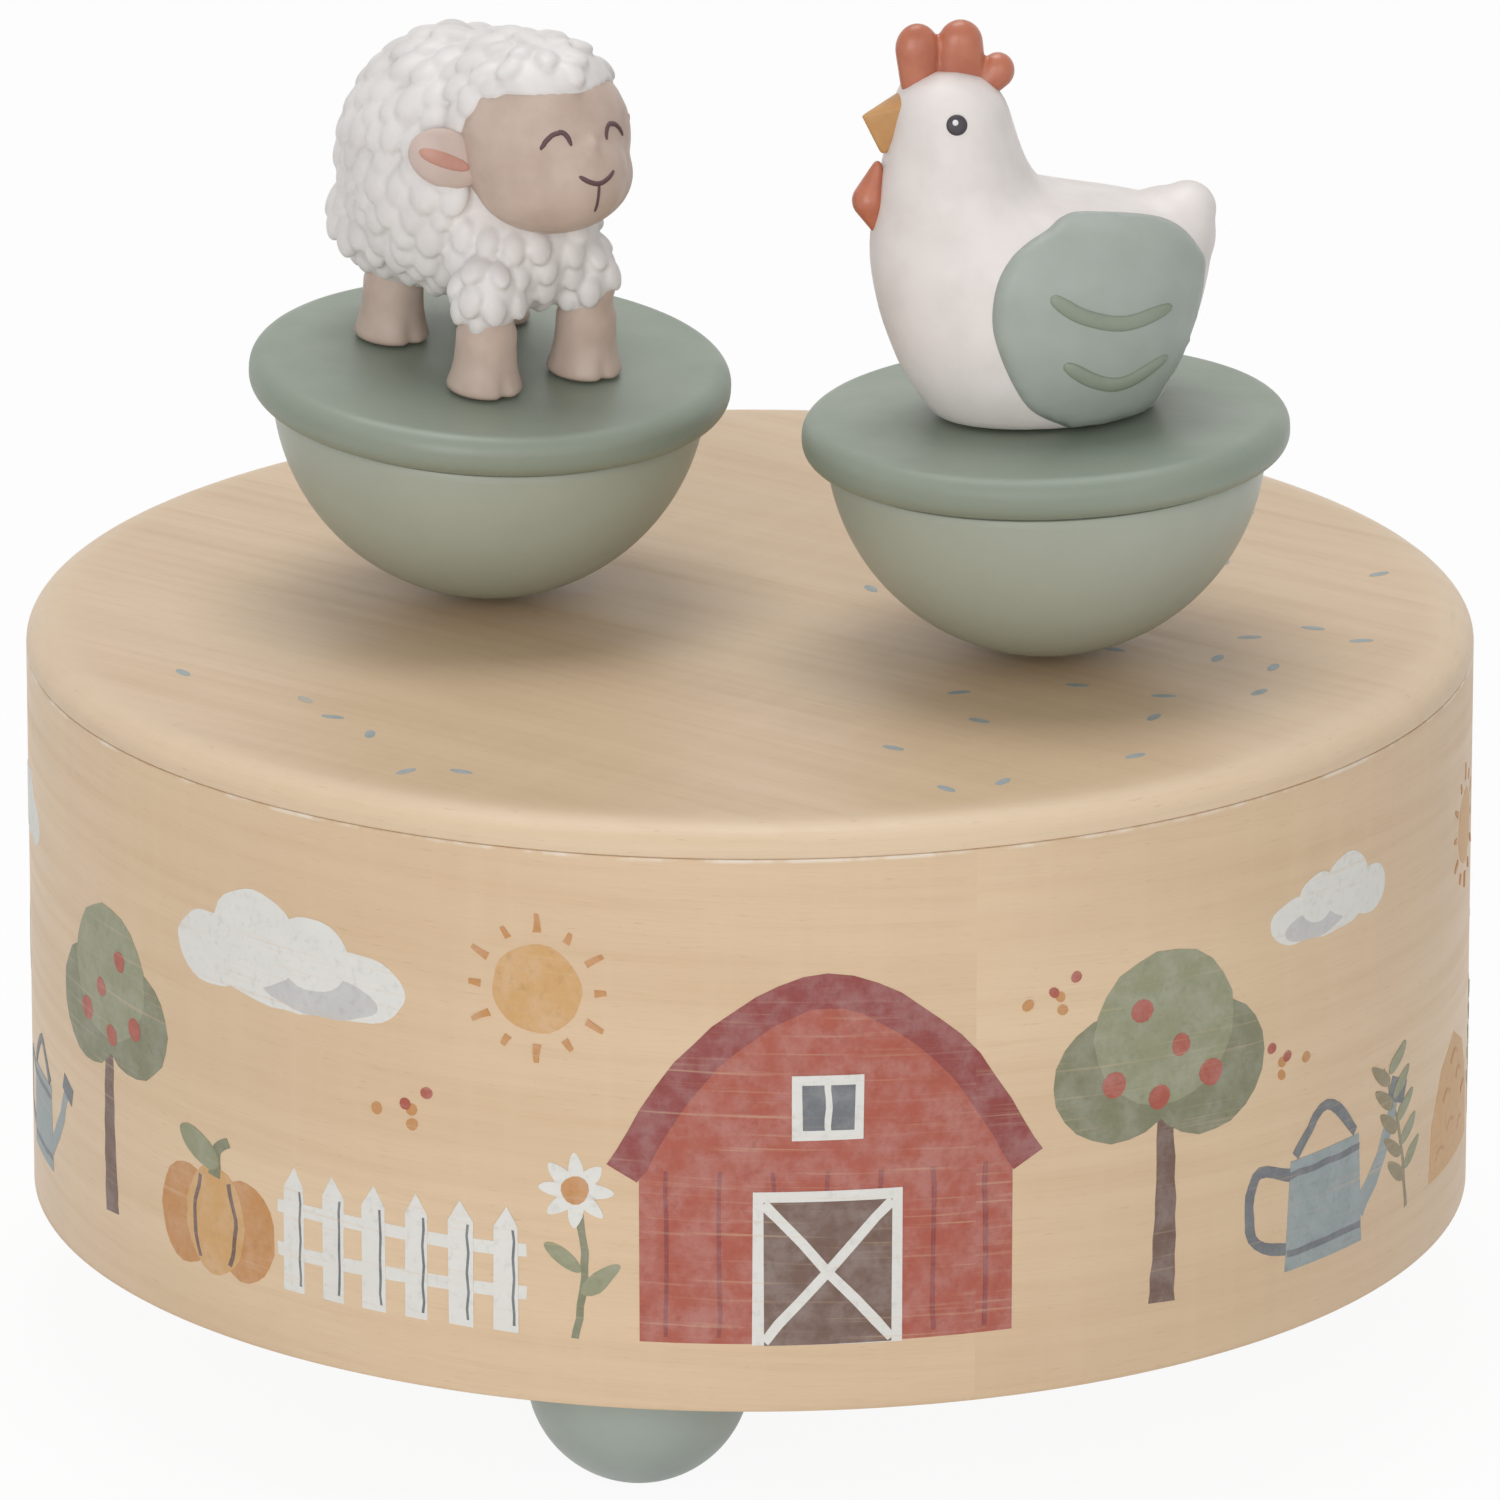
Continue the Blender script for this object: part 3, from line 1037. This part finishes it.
def sun():
    yield "art_pale_orange", oval(0, 0, 3.4, 3.4, count=30)
    for i in range(12):
        turn = full_turn * i / 12
        a, b = (4.3, 5.7) if i % 2 else (4.3, 5.2)
        yield "art_orange", ribbon([(a * math.cos(turn), a * math.sin(turn)),
                                    (b * math.cos(turn), b * math.sin(turn))], 0.6, 0.35)


def cloud():
    for look, x, y, wide, high in (
        ("art_white", -4.3, -0.2, 2.3, 1.7), ("art_white", 4.0, -0.3, 2.6, 1.6), ("art_white", 0.2, -0.6, 4.4, 1.5),
        ("art_pale_grey", 2.0, -1.0, 3.2, 1.0), ("art_white", -1.6, 0.9, 2.6, 2.2), ("art_white", 1.7, 0.8, 2.0, 1.7),
    ):
        yield look, oval(x, y, wide, high, count=32)


def haystack():
    yield "art_pale_orange", [(-5, 0), (5, 0), (4.6, 3.4), (2.9, 6.2), (0, 7.6), (-2.9, 6.2), (-4.6, 3.4)]
    for x, y in ((-3, 1.2), (-0.6, 2.2), (2.2, 1.4), (-1.6, 4.2), (1.6, 4.6), (3.2, 3.2), (0.2, 6)):
        yield "art_orange", ribbon([(x - 0.8, y), (x, y + 0.35), (x + 0.9, y + 0.1)], 0.25)


def seed_dots():
    for i in range(5):
        yield "art_red" if i % 2 else "art_orange", oval(1.9 * math.cos(2.4 * i) * i / 3, 1.5 * math.sin(2.4 * i) * i / 3,
                                                         0.42, 0.42, count=10)


# Pictures around the ring: which, its place along the ring and up, its size and whether it is turned over
front_pictures = (
    (round_tree, -61.0, 6.0, 1.45, 1), (pumpkin, -46.5, 5.0, 1.6, 1), (fence, -28.5, 5.5, 1.35, 1),
    (cloud, -39.0, 32.0, 1.75, 1), (sun, -16.5, 33.5, 1.05, 1), (daisy, -13.5, 5.5, 1.5, 1),
    (barn, 6.0, 5.5, 1.45, 1), (round_tree, 34.0, 5.5, 1.65, -1), (watering_can, 51.5, 5.0, 1.4, 1),
    (cloud, 52.0, 34.0, 1.15, -1), (sprig, 64.0, 5.5, 1.4, -1), (seed_dots, -27.0, 22.5, 1.2, 1),
    (seed_dots, 46.0, 22.5, 1.1, -1), (seed_dots, 24.5, 32.0, 1.1, 1),
)
back_pictures = (
    (haystack, 76.0, 5.5, 1.4, 1), (sprig, 86.0, 6.0, 1.1, 1), (sun, 80.0, 32.0, 0.9, 1),
    (fence, 100.0, 5.5, 1.15, 1), (round_tree, 116.0, 6.0, 1.15, 1), (cloud, 104.0, 32.0, 1.1, 1),
    (pumpkin, 127.0, 5.0, 1.3, -1), (daisy, 134.5, 5.5, 1.2, 1), (barn, 149.0, 6.0, 1.1, 1),
    (watering_can, 169.0, 5.0, 1.2, -1), (cloud, 166.0, 33.0, 1.1, 1), (round_tree, -172.0, 6.0, 1.1, -1),
    (sprig, -162.0, 5.5, 1.1, 1), (haystack, -151.0, 5.5, 1.3, 1), (sun, -136.0, 32.0, 0.9, 1),
    (fence, -131.0, 5.5, 1.15, 1), (daisy, -117.0, 5.5, 1.3, -1), (pumpkin, -108.0, 5.0, 1.2, 1),
    (round_tree, -95.0, 6.0, 1.2, 1), (cloud, -85.0, 32.5, 1.1, -1), (watering_can, -78.0, 5.0, 1.1, 1),
    (seed_dots, 92.0, 22.0, 1.0, 1), (seed_dots, -142.0, 20.0, 1.0, 1),
)


def wrapped(outline, layer):
    """A thin closed patch of print that lies on the ring."""
    build = bmesh.new()
    # A slow wobble, as a brush leaves it
    wavy = [(x + 0.07 * math.sin(2.1 * y + x), y + 0.07 * math.sin(1.7 * x + 0.6 * y)) for x, y in outline]
    build.faces.new([build.verts.new((x, y, 0.0)) for x, y in wavy])
    bmesh.ops.triangulate(build, faces=build.faces[:])
    low, high = min(p[0] for p in wavy), max(p[0] for p in wavy)
    step = 1.2
    for k in range(math.floor(low / step) + 1, math.ceil(high / step)):
        bmesh.ops.bisect_plane(build, geom=build.verts[:] + build.edges[:] + build.faces[:],
                               plane_co=(k * step, 0.0, 0.0), plane_no=(1.0, 0.0, 0.0))
    raised = bmesh.ops.extrude_face_region(build, geom=build.faces[:])["geom"]
    for corner in raised:
        if isinstance(corner, bmesh.types.BMVert):
            corner.co.z = 1.0
    for corner in build.verts:
        x, y, top = corner.co
        turn = x * millimetre / ring_radius - math.pi / 2
        reach = ring_radius + (0.00002 + 0.000006 * layer if top > 0.5 else -0.00012)
        corner.co = (reach * math.cos(turn), reach * math.sin(turn), ring_bottom + y * millimetre)
    return mesh_from_millimetres(build)


def make_pictures():
    parts = []
    for draw, along, up, size, way in front_pictures + back_pictures:
        for layer, (look, outline) in enumerate(draw()):
            outline = [(along + x * size * way, up + y * size) for x, y in outline]
            parts.append((wrapped(outline, layer), look))
    gathered("ring_print", parts, Matrix.Identity(4), "case", (), 30.0)


def marks_group():
    """Small printed leaves scattered over the top, each turned its own way."""
    group, given, out = node_group("scattered_leaves", {
        "Spacing": 0.006, "Seed": 5, "Size": 0.0009, "Patches": 50.0})
    spread = node(group, "GeometryNodeDistributePointsOnFaces", {
        "Mesh": given.outputs["Geometry"], "Distance Min": given.outputs["Spacing"], "Density Max": 30000.0,
        "Seed": given.outputs["Seed"]}, distribute_method="POISSON")
    patch = node(group, "ShaderNodeTexNoise", {"Scale": given.outputs["Patches"], "Detail": 1.0}).outputs[0]
    group.links.new(ranged(group, patch, 0.52, 0.58), spread.inputs["Density Factor"])
    turn = node(group, "FunctionNodeRandomValue", {0: (0.0, 0.0, 0.0), 1: (0.0, 0.0, full_turn),
                                                   "Seed": given.outputs["Seed"]}, data_type="FLOAT_VECTOR")
    flat = node(group, "GeometryNodeMeshCylinder", {"Vertices": 10, "Radius": 1.0, "Depth": 0.05})
    sized = node(group, "ShaderNodeVectorMath", {0: (1.0, 0.42, 0.8)}, operation="SCALE")
    group.links.new(given.outputs["Size"], sized.inputs["Scale"])
    placed = node(group, "GeometryNodeInstanceOnPoints", {
        "Points": spread.outputs["Points"], "Instance": flat.outputs["Mesh"], "Rotation": turn.outputs[0],
        "Scale": sized.outputs[0]})
    real = node(group, "GeometryNodeRealizeInstances", {"Geometry": placed.outputs[0]})
    paint = node(group, "GeometryNodeSetMaterial", {"Geometry": real.outputs[0]})
    paint.inputs["Material"].default_value = finishes["art_teal"]
    group.links.new(paint.outputs[0], out.inputs[0])
    return group


def make_top_marks():
    """Leaf marks on the top, clear of the rim and of the paths of the figures."""
    build = bmesh.new()
    bmesh.ops.create_circle(build, cap_ends=True, segments=64, radius=0.0515,
                            matrix=Matrix.Translation((0.0, 0.0, plate_top)))
    mesh = bpy.data.meshes.new("top_marks")
    build.to_mesh(mesh)
    build.free()
    marks = rough_object("top_marks", [mesh])
    grown(marks, marks_group(), Spacing=0.0038, Seed=4, Size=0.001, Patches=40.0)
    printed = baked(marks)
    made = bpy.data.objects.new("top_leaf_marks", printed)
    bpy.context.scene.collection.objects.link(made)
    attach(made, "case")


def slotted_head(radius, depth, shank, countersunk):
    """The head of a screw with a straight slot, its top at zero and its shank below."""
    if countersunk:
        side = [(shank, -depth), (radius, -0.00015), (radius, 0.0)]
    else:
        side = [(shank, -depth), (radius, -depth), (radius, -depth * 0.45),
                *arc((radius - 0.0004, -0.0004), 0.0004, 0, 90, 5)]
    head = rough_object("screw_head", [turned([(0.0, -depth - 0.001), (shank, -depth - 0.001), *side, (0.0, 0.0)], 48)])
    cutter = bmesh.new()
    bmesh.ops.create_cube(cutter, size=1.0, matrix=Matrix.Diagonal((radius * 2.4, 0.0007, 0.0012, 1.0)))
    slot_mesh = bpy.data.meshes.new("slot")
    cutter.to_mesh(slot_mesh)
    cutter.free()
    tool = rough_object("slot_tool", [slot_mesh])
    cut = head.modifiers.new("slot", "BOOLEAN")
    cut.operation = "DIFFERENCE"
    cut.object = tool
    mesh = baked(head)
    bpy.data.objects.remove(tool, do_unlink=True)
    return mesh


def make_screws():
    """The screws that show underneath, each on the place of its plainer twin."""
    flip = Matrix.Rotation(math.pi, 4, "X")
    kinds = (("block_screw_%d", 0.0026, 0.0016, 0.0012, True), ("movement_screw_%d", 0.0023, 0.0011, 0.0011, False))
    for name, radius, depth, shank, sunk in kinds:
        head = slotted_head(radius, depth, shank, sunk)
        for i in range(1, 4):
            low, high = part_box(name % i)
            spot = Matrix.Translation(((low.x + high.x) / 2, (low.y + high.y) / 2, low.z))
            turn = Matrix.Rotation(0.9 * i, 4, "Z")
            piece("under_" + name % i, moved(head.copy(), spot @ flip @ turn), "zinc", "case",
                  40.0, (name % i,))


slot_looks = {
    "veneer": "veneer", "plywood": "plywood", "block_wood": "raw_wood", "foot_paint": "foot_paint",
    "lid_paint": "lid_paint", "bowl_paint": "bowl_paint", "fleece": "fleece_white", "feather": "hen_white",
    "magnet": "nickel", "brass": "brass", "steel": "steel", "spring_steel": "blue_steel", "cast": "cast_grey",
    "screw_steel": "zinc",
}


def paint_inside():
    """The pieces that keep their plain shapes, most of them inside the box, get a finish each by their slot."""
    for part in frame["record"]["subparts"]:
        thing = frame["nodes"][part["node"]]
        look = slot_looks[part["material_slot"]]
        for slot_index in range(len(thing.material_slots)):
            thing.material_slots[slot_index].material = finishes[look]


make_studio()
make_case()
make_stand("sheep", sheep_place, sheep_leans)
make_stand("hen", hen_place, hen_leans)
make_sheep()
make_hen()
make_pictures()
make_top_marks()
make_screws()
paint_inside()
